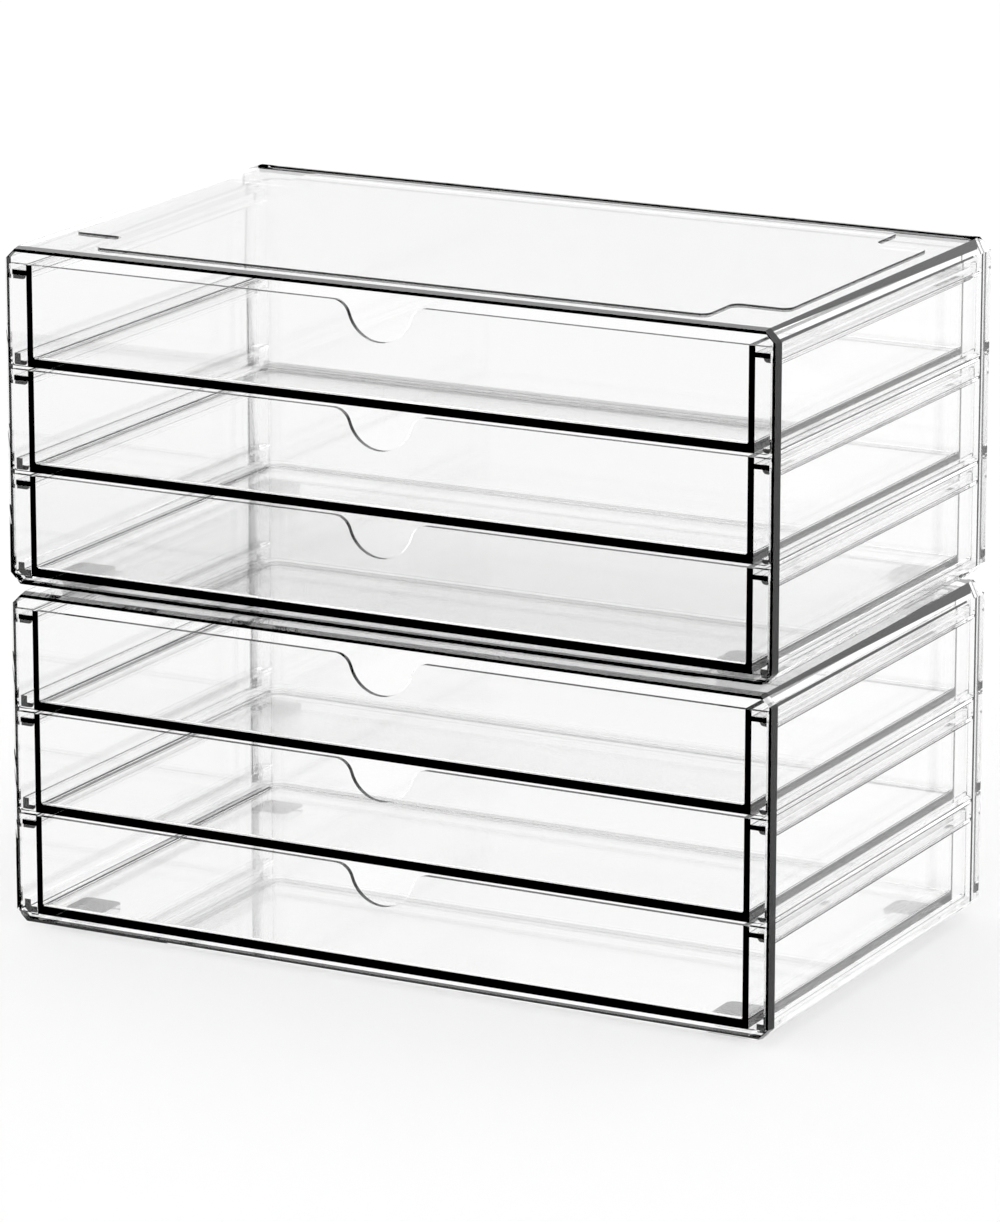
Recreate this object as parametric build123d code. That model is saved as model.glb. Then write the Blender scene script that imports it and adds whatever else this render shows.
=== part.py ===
from build123d import *
import math
import os

# Two identical clear moulded drawer units, one standing on the other.
# Millimetres. X is across the front, Y runs from the front (-Y) to the back, Z is up.
# The origin is on the table, under the middle of the stack.

# ---- case, the outer shell of one unit ----
CASE_WIDTH = 305.0
CASE_DEPTH = 178.0
CASE_HEIGHT = 124.0
CASE_WALL = 1.6
CASE_BACK_WALL = 1.6
CASE_REAR_RADIUS = 10.6   # inside radius of the two rear corners
CEILING_DROP = 2.1        # the ceiling comes down by this much towards the back
CORNER_CUT = 4.4          # 45 degree cut along the four long edges
INNER_CUT_FRONT = 2.5     # the same cut inside, at the front and at the back
INNER_CUT_REAR = 1.1
RIM_BEVEL_DEPTH = 3.7     # the front rim tapers in over this depth
RIM_BEVEL_SIDE = 0.7      # by this much at its sides
RIM_BEVEL_TOP = 0.45      # and by this much at its top and bottom
HEAD_ROOM = 2.2           # air over the top drawer, where the ceiling is lowest

# ---- feet, one in each corner under a case ----
FOOT_SIZE = 16.0
FOOT_HEIGHT = 3.0
FOOT_RADIUS = 3.0
FOOT_EDGE = 0.6

# ---- top of the case: a raised panel, with a seat for a foot cut out of each corner ----
PANEL_RISE = 0.7
PANEL_MARGIN = 10.5
SEAT_CLEARANCE = 2.5      # foot to the seat's edges
SEAT_RADIUS = 3.5

# ---- drawer: one moulding with a wider front panel ----
DRAWER_LEVELS = ("bottom", "middle", "top")
DRAWER_GAP = 1.4          # between one drawer and the next
DRAWER_WALL = 2.4
DRAWER_FLOOR = 2.65
DRAWER_SIDE_GAP = 7.15    # between the drawer's side and the case wall
DRAWER_REAR_GAP = 0.5
DRAWER_CORNER = 3.0       # inside radius of the rear corners
FLOOR_FILLET = 1.2        # inside radius along the floor
FRONT_THICKNESS = 2.0
FRONT_SET_BACK = 0.0      # front panel behind the case rim
FRONT_CLEARANCE = 0.85    # front panel to the case wall
FRONT_RADIUS = 1.5        # of its lower corners
FRONT_CORNER_GAP = 1.02   # front panel's lower corner to the cut corner of the case

# ---- finger notch in the front panel ----
NOTCH_HALF_WIDTH = 18.5
NOTCH_DEPTH = 13.8
NOTCH_RADIUS = 12.8

# ---- flange along each drawer side ----
FLANGE_DROP = 2.4         # below the drawer's top edge
FLANGE_THICKNESS = 1.8
FLANGE_CLEARANCE = 1.3    # to the case wall

# ---- rails inside the case ----
RAIL_FRONT_GAP = 2.75     # rails behind the drawer's front panel
RAIL_TIP_GAP = 1.8        # rails to the drawer's side
RAIL_LAND = 0.2           # flat left beside a rail's round lower corner
RUN_CLEARANCE = 0.2       # flange to the ledge that carries it, and to the stop behind it
LEDGE_THICKNESS = 1.9
STOP_LENGTH = 6.6         # block behind each flange that stops the drawer
STOP_REACH = 4.0
STOP_RISE = 2.2           # above its ledge
GUIDE_DROP = 0.55         # guide rail's underside below the drawer's
GUIDE_LIP = 2.8
GUIDE_LIP_THICKNESS = 1.7
GUIDE_HEIGHT = 4.2

FLOOR_ROOM = (INNER_CUT_FRONT - FRONT_CLEARANCE - 2 * FRONT_RADIUS
              + math.sqrt(2) * (FRONT_RADIUS + FRONT_CORNER_GAP))
DRAWERS_HEIGHT = CASE_HEIGHT - 2 * CASE_WALL - CEILING_DROP - FLOOR_ROOM - HEAD_ROOM
DRAWER_PITCH = (DRAWERS_HEIGHT + DRAWER_GAP) / len(DRAWER_LEVELS)
DRAWER_HEIGHT = DRAWER_PITCH - DRAWER_GAP
UNIT_PITCH = FOOT_HEIGHT + CASE_HEIGHT

SEAT_SIZE = FOOT_SIZE + 2 * SEAT_CLEARANCE
SEAT_X = CASE_WIDTH / 2 - PANEL_MARGIN - SEAT_SIZE / 2
SEAT_Y = CASE_DEPTH / 2 - PANEL_MARGIN - SEAT_SIZE / 2
CASE_INNER_X = CASE_WIDTH / 2 - CASE_WALL
CASE_INNER_BACK = CASE_DEPTH - CASE_BACK_WALL
DRAWER_SIDE_X = CASE_INNER_X - DRAWER_SIDE_GAP
DRAWER_FRONT_BACK = FRONT_SET_BACK + FRONT_THICKNESS
DRAWER_REAR = CASE_INNER_BACK - DRAWER_REAR_GAP
FLANGE_OUTER_X = CASE_INNER_X - FLANGE_CLEARANCE
LEDGE_TOP = DRAWER_HEIGHT - FLANGE_DROP - FLANGE_THICKNESS - RUN_CLEARANCE
STOP_FRONT = CASE_INNER_BACK - STOP_LENGTH
RAIL_FRONT = DRAWER_FRONT_BACK + RAIL_FRONT_GAP
RAIL_TIP_X = DRAWER_SIDE_X + RAIL_TIP_GAP


def drawer_base(level):
    """Height of a drawer's underside above the bottom of its case."""
    return CASE_WALL + FLOOR_ROOM + level * DRAWER_PITCH


def section(points):
    """A flat face through (x, z) points."""
    return make_face(Polyline(*points, close=True))


def along_depth(face, front, back):
    """Extrude an (x, z) face from one depth to another, 0 being the case's front rim."""
    return extrude(Plane.XZ.offset(-front) * face, amount=front - back)


def block(x0, x1, y0, y1, z0, z1):
    """A box between two corners."""
    return Pos((x0 + x1) / 2, (y0 + y1) / 2, (z0 + z1) / 2) * Box(x1 - x0, y1 - y0, z1 - z0)


def both_sides(solid):
    """The solid and its mirror image across the middle of the unit."""
    return [solid, mirror(solid, about=Plane.YZ)]


def cut_rectangle(x, z0, z1, cut):
    """A rectangle from -x to x and from z0 to z1, with its four corners cut at 45 degrees."""
    return section([
        (-x, z0 + cut), (-x + cut, z0), (x - cut, z0), (x, z0 + cut),
        (x, z1 - cut), (x - cut, z1), (-x + cut, z1), (-x, z1 - cut),
    ])


def case_outline(inset):
    """The case's outer section, moved inwards by inset."""
    cut = CORNER_CUT - inset * (2 - math.sqrt(2))
    return cut_rectangle(CASE_WIDTH / 2 - inset, inset, CASE_HEIGHT - inset, cut)


def case_room():
    """The space in the case: its ceiling comes down towards the back, and its rear corners are round."""
    ceiling = CASE_HEIGHT - CASE_WALL
    front = cut_rectangle(CASE_INNER_X, CASE_WALL, ceiling, INNER_CUT_FRONT)
    rear = cut_rectangle(CASE_INNER_X, CASE_WALL, ceiling - CEILING_DROP, INNER_CUT_REAR)
    room = along_depth(front, -1, 0)
    room += loft([Plane.XZ * front, Plane.XZ.offset(-CASE_INNER_BACK) * rear], ruled=True)
    plan = block(-CASE_INNER_X, CASE_INNER_X, -1, CASE_INNER_BACK, 0, CASE_HEIGHT)
    return room & fillet(plan.edges().filter_by(Axis.Z).group_by(Axis.Y)[-1], CASE_REAR_RADIUS)


def rim_outline():
    """The case's outer section at the very front, inside its bevel."""
    corner_bevel = (RIM_BEVEL_SIDE + RIM_BEVEL_TOP) / 2
    cut = CORNER_CUT - RIM_BEVEL_SIDE - RIM_BEVEL_TOP + math.sqrt(2) * corner_bevel
    return cut_rectangle(CASE_WIDTH / 2 - RIM_BEVEL_SIDE, RIM_BEVEL_TOP, CASE_HEIGHT - RIM_BEVEL_TOP, cut)


def case_shell():
    """Open-fronted shell with a bevelled front rim and a closed back."""
    rim = loft([Plane.XZ * rim_outline(), Plane.XZ.offset(-RIM_BEVEL_DEPTH) * case_outline(0)], ruled=True)
    outside = rim + along_depth(case_outline(0), RIM_BEVEL_DEPTH, CASE_DEPTH)
    return outside - case_room()


def top_panel():
    """Low raised panel; the feet of a unit above stand beside it in its corner cut-outs."""
    outline = Rectangle(CASE_WIDTH - 2 * PANEL_MARGIN, CASE_DEPTH - 2 * PANEL_MARGIN)
    for x in (-SEAT_X, SEAT_X):
        for y in (-SEAT_Y, SEAT_Y):
            outline -= Pos(x, y) * Rectangle(SEAT_SIZE, SEAT_SIZE)
    outline = fillet(outline.vertices(), SEAT_RADIUS)
    return Pos(0, CASE_DEPTH / 2, CASE_HEIGHT) * extrude(outline, amount=PANEL_RISE)


def round_tip(face, z):
    """The rail's section with its lower inner corner, at height z, rounded."""
    corner = face.vertices().sort_by_distance((RAIL_TIP_X, z, 0))[0]
    return fillet(corner, min(LEDGE_THICKNESS, GUIDE_LIP_THICKNESS) - RAIL_LAND)


def ledge(level):
    """Right-hand ledge that carries a drawer's flange, with the stop block at its rear."""
    top = drawer_base(level) + LEDGE_TOP
    under = top - LEDGE_THICKNESS
    face = section([(RAIL_TIP_X, under), (CASE_INNER_X, under), (CASE_INNER_X, top), (RAIL_TIP_X, top)])
    run = along_depth(round_tip(face, under), RAIL_FRONT, CASE_INNER_BACK)
    stop = block(CASE_INNER_X - STOP_REACH, CASE_INNER_X, STOP_FRONT, CASE_INNER_BACK, under, top + STOP_RISE)
    return run + stop


def guide(level):
    """Right-hand guide rail beside a drawer's lower edge; the lowest one stands on the case floor."""
    under = drawer_base(level) - GUIDE_DROP
    lip_bottom = under if level else CASE_WALL
    lip_top = under + GUIDE_LIP_THICKNESS
    root = RAIL_TIP_X + GUIDE_LIP
    top = under + GUIDE_HEIGHT
    face = section([
        (RAIL_TIP_X, lip_bottom), (CASE_INNER_X, lip_bottom), (CASE_INNER_X, top),
        (root, top), (root, lip_top), (RAIL_TIP_X, lip_top),
    ])
    if level:
        face = round_tip(face, under)
    return along_depth(face, RAIL_FRONT, CASE_INNER_BACK)


def case():
    """One case: shell, raised top panel, ledges, stops and guide rails in one moulding."""
    body = case_shell() + top_panel()
    reach = along_depth(case_outline(CASE_WALL / 2), 0, CASE_DEPTH - CASE_BACK_WALL / 2)
    for level in range(len(DRAWER_LEVELS)):
        for rail in both_sides(ledge(level)) + both_sides(guide(level)):
            body += rail & reach
    return body


def notch_face():
    """Finger notch: a round bottom between two shoulders that run out into the top edge."""
    rise = NOTCH_DEPTH - NOTCH_RADIUS
    shoulder = (NOTCH_HALF_WIDTH**2 + rise**2 - NOTCH_RADIUS**2) / (2 * (NOTCH_RADIUS + rise))
    centre = Vector(0, -rise)
    shoulder_centre = Vector(NOTCH_HALF_WIDTH, -shoulder)
    touch = centre + (shoulder_centre - centre) * (NOTCH_RADIUS / (NOTCH_RADIUS + shoulder))
    half_turn = math.atan2(shoulder_centre.X - touch.X, touch.Y - shoulder_centre.Y) / 2
    bend = shoulder_centre + Vector(-math.sin(half_turn), math.cos(half_turn)) * shoulder
    bottom = ThreePointArc((-touch.X, touch.Y), (0, -NOTCH_DEPTH), (touch.X, touch.Y))
    right = ThreePointArc((touch.X, touch.Y), (bend.X, bend.Y), (NOTCH_HALF_WIDTH, 0))
    left = ThreePointArc((-NOTCH_HALF_WIDTH, 0), (-bend.X, bend.Y), (-touch.X, touch.Y))
    end = NOTCH_HALF_WIDTH
    lid = Polyline((end, 0), (end, 1), (-end, 1), (-end, 0))
    return make_face([left, bottom, right, lid])


def front_panel():
    """Wide front panel with rounded lower corners and the finger notch."""
    width = 2 * (CASE_INNER_X - FRONT_CLEARANCE)
    outline = Pos(0, DRAWER_HEIGHT / 2) * Rectangle(width, DRAWER_HEIGHT)
    outline = fillet(outline.vertices().group_by(Axis.Y)[0], FRONT_RADIUS)
    outline -= Pos(0, DRAWER_HEIGHT) * notch_face()
    return along_depth(outline, FRONT_SET_BACK, DRAWER_FRONT_BACK)


def tray():
    """Open tray behind the front panel, with rounded rear corners and a soft edge along the floor."""
    front = FRONT_SET_BACK + FRONT_THICKNESS / 2
    outer_corner = DRAWER_CORNER + DRAWER_WALL
    outer = block(-DRAWER_SIDE_X, DRAWER_SIDE_X, front, DRAWER_REAR, 0, DRAWER_HEIGHT)
    outer = fillet(outer.edges().filter_by(Axis.Z).group_by(Axis.Y)[-1], outer_corner)
    inner_x = DRAWER_SIDE_X - DRAWER_WALL
    inner_back = DRAWER_REAR - DRAWER_WALL
    inner = block(-inner_x, inner_x, DRAWER_FRONT_BACK, inner_back, DRAWER_FLOOR, DRAWER_HEIGHT + 1)
    inner = fillet(inner.edges().filter_by(Axis.Z).group_by(Axis.Y)[-1], DRAWER_CORNER)
    inner = fillet(inner.faces().sort_by(Axis.Z)[0].edges(), FLOOR_FILLET)
    return outer - inner


def flange():
    """Right-hand side flange, by which the drawer hangs on its ledge."""
    top = DRAWER_HEIGHT - FLANGE_DROP
    return block(DRAWER_SIDE_X - DRAWER_WALL / 2, FLANGE_OUTER_X, FRONT_SET_BACK + FRONT_THICKNESS / 2,
                 STOP_FRONT - RUN_CLEARANCE, top - FLANGE_THICKNESS, top)


def drawer():
    """One drawer, standing on z = 0."""
    body = front_panel() + (tray() - along_depth(Pos(0, DRAWER_HEIGHT) * notch_face(), 0, DRAWER_FRONT_BACK))
    for side in both_sides(flange()):
        body += side
    return body


def foot():
    """Square pad with rounded corners and a soft lower edge, hanging under z = 0."""
    pad = extrude(RectangleRounded(FOOT_SIZE, FOOT_SIZE, FOOT_RADIUS), amount=-FOOT_HEIGHT)
    return fillet(pad.faces().sort_by(Axis.Z)[0].edges(), FOOT_EDGE)


def write(name, solid):
    export_step(solid, f"parts/{name}.step")


def main():
    os.makedirs("parts", exist_ok=True)
    case_solid = case()
    drawer_solid = drawer()
    foot_solid = foot()
    for number, unit in enumerate(("lower", "upper")):
        base = FOOT_HEIGHT + number * UNIT_PITCH
        place = Pos(0, -CASE_DEPTH / 2, base)
        write(f"{unit}_case", place * case_solid)
        for level, level_name in enumerate(DRAWER_LEVELS):
            write(f"{unit}_drawer_{level_name}", place * Pos(0, 0, drawer_base(level)) * drawer_solid)
        for end, y in (("front", -SEAT_Y), ("rear", SEAT_Y)):
            for side, x in (("left", -SEAT_X), ("right", SEAT_X)):
                write(f"{unit}_foot_{end}_{side}", Pos(x, y, base) * foot_solid)


main()
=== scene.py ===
import math

import bpy
from mathutils import Matrix, Vector


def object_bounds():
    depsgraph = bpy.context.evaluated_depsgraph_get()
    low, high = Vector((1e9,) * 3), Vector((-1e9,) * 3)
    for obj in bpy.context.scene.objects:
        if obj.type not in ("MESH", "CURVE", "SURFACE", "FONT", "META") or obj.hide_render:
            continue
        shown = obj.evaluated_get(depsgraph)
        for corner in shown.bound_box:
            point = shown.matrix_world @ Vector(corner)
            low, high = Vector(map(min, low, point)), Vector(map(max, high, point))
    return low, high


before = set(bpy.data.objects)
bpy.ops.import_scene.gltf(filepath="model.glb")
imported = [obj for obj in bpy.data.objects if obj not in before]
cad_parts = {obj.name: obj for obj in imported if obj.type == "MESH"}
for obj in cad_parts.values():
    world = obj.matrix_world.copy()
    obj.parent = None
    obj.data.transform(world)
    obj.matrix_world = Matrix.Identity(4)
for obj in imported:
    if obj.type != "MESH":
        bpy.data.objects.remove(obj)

# Two clear plastic drawer units, one on the other, on a white floor. Metres, in the frame's own axes.

# ---- camera, fitted to the outline of the rims and corners in the photograph ----
IMAGE_LONG_SIDE = 1222         # pixels
SENSOR_WIDTH = 36.0            # millimetres, along the image's long side
FOCAL_LENGTH = 6586.6          # pixels
AZIMUTH = 27.767               # degrees, from straight ahead towards +X
ELEVATION = 14.700             # degrees
ROLL = 0.018                   # degrees
AIM = Vector((0.0, -0.004, 0.138))
DISTANCE = 2.3770
OFFSET = (0.00238, -0.01864)   # eye beside and above the line through the aim

# ---- light: one white studio, all of it the world's ----
ROOM_LIGHT = 1.03              # what lights the floor
SEEN_THROUGH = 1.0             # what shows through the plastic
WALL_TOP = 0.30                # sine of the height up to which the room has its pale walls
LAMP_HEIGHT = 0.45             # and from which it has the soft light overhead
LAMP_LIGHT = 1.3
WALL_LIGHT = 1.75              # what the outside of the plastic mirrors of those walls
LIGHT_PASSES = 32              # how many surfaces of the clear walls a ray may cross

# ---- floor, and two black sheets that the camera doesn't see itself, for painted dark reflections and painted shade ----
FLOOR_HALF = 6.0
FLOOR_COLOUR = (0.985, 0.985, 0.985, 1)
# painted shade and painted dark reflections: the black of the two hidden sheets
PAINTED_DARK_COLOUR = (0, 0, 0, 1)
REFLECTED_DARK_X = (-1.8, 0.9)          # a black sheet on the floor in front: painted dark reflections in the rims and bars
REFLECTED_DARK_Y = (-1.7, -0.1)
REFLECTED_DARK_Z = 0.001
SHADE_STRIP_X = (-0.150, 0.150)      # a black strip behind the top's rear edge: painted shade on that edge
SHADE_STRIP_BEHIND = 0.0003          # behind that edge
SHADE_STRIP_BELOW = 0.0058           # below the top
SHADE_STRIP_ABOVE = 0.0012           # above the top

# ---- clear plastic of the cases and drawers ----
PLASTIC_COLOUR = (1, 1, 1, 1)
PLASTIC_IOR = 1.5
WAVE_SCALE = 28.0              # per metre, the long waves that a mould leaves
WAVE_DETAIL = 1.0
WAVE_STRENGTH = 0.25
WAVE_HEIGHT = 0.00002

# ---- soft clear rubber of the feet ----
RUBBER_COLOUR = (0.985, 0.99, 0.99, 1)
RUBBER_IOR = 1.45
RUBBER_ROUGHNESS = (0.0, 0.04)
SKIN_SCALE = 400.0             # per metre
SKIN_DETAIL = 3.0
SKIN_STRENGTH = 0.2
SKIN_HEIGHT = 0.0001


def make_camera():
    azimuth = math.radians(AZIMUTH)
    elevation = math.radians(ELEVATION)
    roll = math.radians(ROLL)
    back = Vector((math.sin(azimuth) * math.cos(elevation), -math.cos(azimuth) * math.cos(elevation),
                   math.sin(elevation)))
    level = Vector((math.cos(azimuth), math.sin(azimuth), 0.0))
    rise = back.cross(level)
    right = math.cos(roll) * level + math.sin(roll) * rise
    up = math.cos(roll) * rise - math.sin(roll) * level
    eye = AIM + back * DISTANCE + right * OFFSET[0] + up * OFFSET[1]
    data = bpy.data.cameras.new("camera")
    data.sensor_width = SENSOR_WIDTH
    data.lens = FOCAL_LENGTH * SENSOR_WIDTH / IMAGE_LONG_SIDE
    camera = bpy.data.objects.new("camera", data)
    camera.matrix_world = Matrix.Translation(eye) @ Matrix((right, up, back)).transposed().to_4x4()
    bpy.context.scene.collection.objects.link(camera)
    bpy.context.scene.camera = camera


def new_material(name):
    """A material with its node tree and its Principled shader."""
    material = bpy.data.materials.new(name)
    material.use_nodes = True
    return material, material.node_tree, material.node_tree.nodes["Principled BSDF"]


def set_glass(shader, colour, ior):
    shader.inputs["Base Color"].default_value = colour
    shader.inputs["IOR"].default_value = ior
    shader.inputs["Transmission Weight"].default_value = 1.0


def set_matt(shader, colour):
    shader.inputs["Base Color"].default_value = colour
    shader.inputs["Roughness"].default_value = 1.0
    shader.inputs["Specular IOR Level"].default_value = 0.0


def add_noise(tree, scale, detail):
    place = tree.nodes.new("ShaderNodeTexCoord")
    noise = tree.nodes.new("ShaderNodeTexNoise")
    noise.inputs["Scale"].default_value = scale
    noise.inputs["Detail"].default_value = detail
    tree.links.new(place.outputs["Object"], noise.inputs["Vector"])
    return noise.outputs["Fac"]


def add_bump(tree, shader, height, strength, distance):
    bump = tree.nodes.new("ShaderNodeBump")
    bump.inputs["Strength"].default_value = strength
    bump.inputs["Distance"].default_value = distance
    tree.links.new(height, bump.inputs["Height"])
    tree.links.new(bump.outputs["Normal"], shader.inputs["Normal"])


def clear_plastic():
    """Clear polished moulding: the faint long waves of its surface are a bump of microns."""
    material, tree, shader = new_material("clear_plastic")
    set_glass(shader, PLASTIC_COLOUR, PLASTIC_IOR)
    shader.inputs["Roughness"].default_value = 0.0
    waves = add_noise(tree, WAVE_SCALE, WAVE_DETAIL)
    add_bump(tree, shader, waves, WAVE_STRENGTH, WAVE_HEIGHT)
    return material


def foot_rubber():
    """Soft clear rubber, glassy with a slightly uneven skin."""
    material, tree, shader = new_material("foot_rubber")
    set_glass(shader, RUBBER_COLOUR, RUBBER_IOR)
    skin = add_noise(tree, SKIN_SCALE, SKIN_DETAIL)
    spread = tree.nodes.new("ShaderNodeMapRange")
    spread.inputs["To Min"].default_value, spread.inputs["To Max"].default_value = RUBBER_ROUGHNESS
    tree.links.new(skin, spread.inputs["Value"])
    tree.links.new(spread.outputs["Result"], shader.inputs["Roughness"])
    add_bump(tree, shader, skin, SKIN_STRENGTH, SKIN_HEIGHT)
    return material


def add_plane(name, corners, material):
    mesh = bpy.data.meshes.new(name)
    mesh.from_pydata(corners, [], [(0, 1, 2, 3)])
    mesh.materials.append(material)
    plane = bpy.data.objects.new(name, mesh)
    bpy.context.scene.collection.objects.link(plane)
    return plane


def lying(xs, ys, z):
    """Corners of a level rectangle."""
    return [(xs[0], ys[0], z), (xs[1], ys[0], z), (xs[1], ys[1], z), (xs[0], ys[1], z)]


def standing(xs, y, zs):
    """Corners of an upright rectangle that faces the front."""
    return [(xs[0], y, zs[0]), (xs[1], y, zs[0]), (xs[1], y, zs[1]), (xs[0], y, zs[1])]


def make_floor():
    """White and matt, and plain white where the clear plastic shows it."""
    material, tree, shader = new_material("floor_white")
    material.cycles.emission_sampling = "NONE"
    set_matt(shader, FLOOR_COLOUR)
    white = tree.nodes.new("ShaderNodeEmission")
    path = tree.nodes.new("ShaderNodeLightPath")
    mix = tree.nodes.new("ShaderNodeMixShader")
    tree.links.new(path.outputs["Is Transmission Ray"], mix.inputs["Fac"])
    tree.links.new(shader.outputs["BSDF"], mix.inputs[1])
    tree.links.new(white.outputs["Emission"], mix.inputs[2])
    tree.links.new(mix.outputs["Shader"], tree.nodes["Material Output"].inputs["Surface"])
    reach = (-FLOOR_HALF, FLOOR_HALF)
    add_plane("floor", lying(reach, reach, 0), material)


def hide_painted_sheet(hidden_panel, seen_through):
    """Leave a hidden black sheet to mirrored rays, and to those through the plastic where it is
    seen_through.
    """
    hidden_panel.visible_camera = False
    hidden_panel.visible_diffuse = False
    hidden_panel.visible_shadow = False
    hidden_panel.visible_transmission = seen_through


def make_painted_dark_sheets(top, rear):
    """A black sheet on the floor in front that paints dark reflections into the rims and bars, and a
    black strip that paints shade on the top's rear edge.
    """
    material, tree, shader = new_material("painted_dark_sheet")
    set_matt(shader, PAINTED_DARK_COLOUR)
    # painted dark reflections: this sheet is seen only in mirrored rays
    dark_reflection = add_plane("painted_reflection_front", lying(REFLECTED_DARK_X, REFLECTED_DARK_Y, REFLECTED_DARK_Z), material)
    hide_painted_sheet(dark_reflection, seen_through=False)
    # painted shade: a black strip that shows as a dark band on the top's rear edge, seen mirrored and
    # through the plastic
    reach = (top - SHADE_STRIP_BELOW, top + SHADE_STRIP_ABOVE)
    rear_shade = add_plane("painted_shade_rear_edge", standing(SHADE_STRIP_X, rear + SHADE_STRIP_BEHIND, reach), material)
    hide_painted_sheet(rear_shade, seen_through=True)


def combine(tree, operation, first, second):
    """A Math node of two values or sockets; a difference is kept between 0 and 1."""
    node = tree.nodes.new("ShaderNodeMath")
    node.operation = operation
    node.use_clamp = operation == "SUBTRACT"
    for socket, value in zip(node.inputs, (first, second)):
        if isinstance(value, (int, float)):
            socket.default_value = value
        else:
            tree.links.new(value, socket)
    return node.outputs["Value"]


def by_height(tree, height, low, high):
    """One strength for the walls and another for the light overhead, blended between them."""
    node = tree.nodes.new("ShaderNodeMapRange")
    node.inputs["From Min"].default_value = WALL_TOP
    node.inputs["From Max"].default_value = LAMP_HEIGHT
    node.inputs["To Min"].default_value = low
    node.inputs["To Max"].default_value = high
    tree.links.new(height, node.inputs["Value"])
    return node.outputs["Result"]


def make_world():
    """White to the camera; the other kinds of ray add up what each of them finds."""
    world = bpy.data.worlds.new("studio")
    world.use_nodes = True
    tree = world.node_tree
    path = tree.nodes.new("ShaderNodeLightPath")
    place = tree.nodes.new("ShaderNodeTexCoord")
    direction = tree.nodes.new("ShaderNodeSeparateXYZ")
    tree.links.new(place.outputs["Generated"], direction.inputs["Vector"])
    height = direction.outputs["Z"]

    seen = path.outputs["Is Camera Ray"]
    mirrored = path.outputs["Is Glossy Ray"]
    through = path.outputs["Is Transmission Ray"]
    mirrored_outside = combine(tree, "SUBTRACT", mirrored, through)
    # a refracted ray counts as mirrored and as passed through, so this sum can be 2
    directed = combine(tree, "ADD", seen, combine(tree, "ADD", mirrored, through))
    scattered = combine(tree, "SUBTRACT", 1.0, directed)
    strength = seen
    for kind, light in (
        (scattered, ROOM_LIGHT),
        (through, SEEN_THROUGH),
        (mirrored, by_height(tree, height, 0.0, LAMP_LIGHT)),
        (mirrored_outside, by_height(tree, height, WALL_LIGHT, 0.0)),
    ):
        strength = combine(tree, "ADD", strength, combine(tree, "MULTIPLY", kind, light))
    background = tree.nodes["Background"]
    background.inputs["Color"].default_value = (1, 1, 1, 1)
    tree.links.new(strength, background.inputs["Strength"])
    bpy.context.scene.world = world


def set_view_and_bounces():
    scene = bpy.context.scene
    scene.view_settings.view_transform = "Standard"
    scene.cycles.max_bounces = LIGHT_PASSES
    scene.cycles.transmission_bounces = LIGHT_PASSES


def dress(names):
    """Give each solid its material; the clear plastic throws no shadow, the feet do."""
    plastic = clear_plastic()
    rubber = foot_rubber()
    for name in names:
        node = bpy.data.objects[name]
        is_foot = "_foot_" in name
        node.data.materials.clear()
        node.data.materials.append(rubber if is_foot else plastic)
        node.visible_shadow = is_foot


box_at_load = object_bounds()
set_view_and_bounces()
make_camera()
make_floor()
# painted dark reflections in the front faces and painted shade on the top's rear edge
make_painted_dark_sheets(top=box_at_load[1][2], rear=box_at_load[1][1])
make_world()
dress(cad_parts)
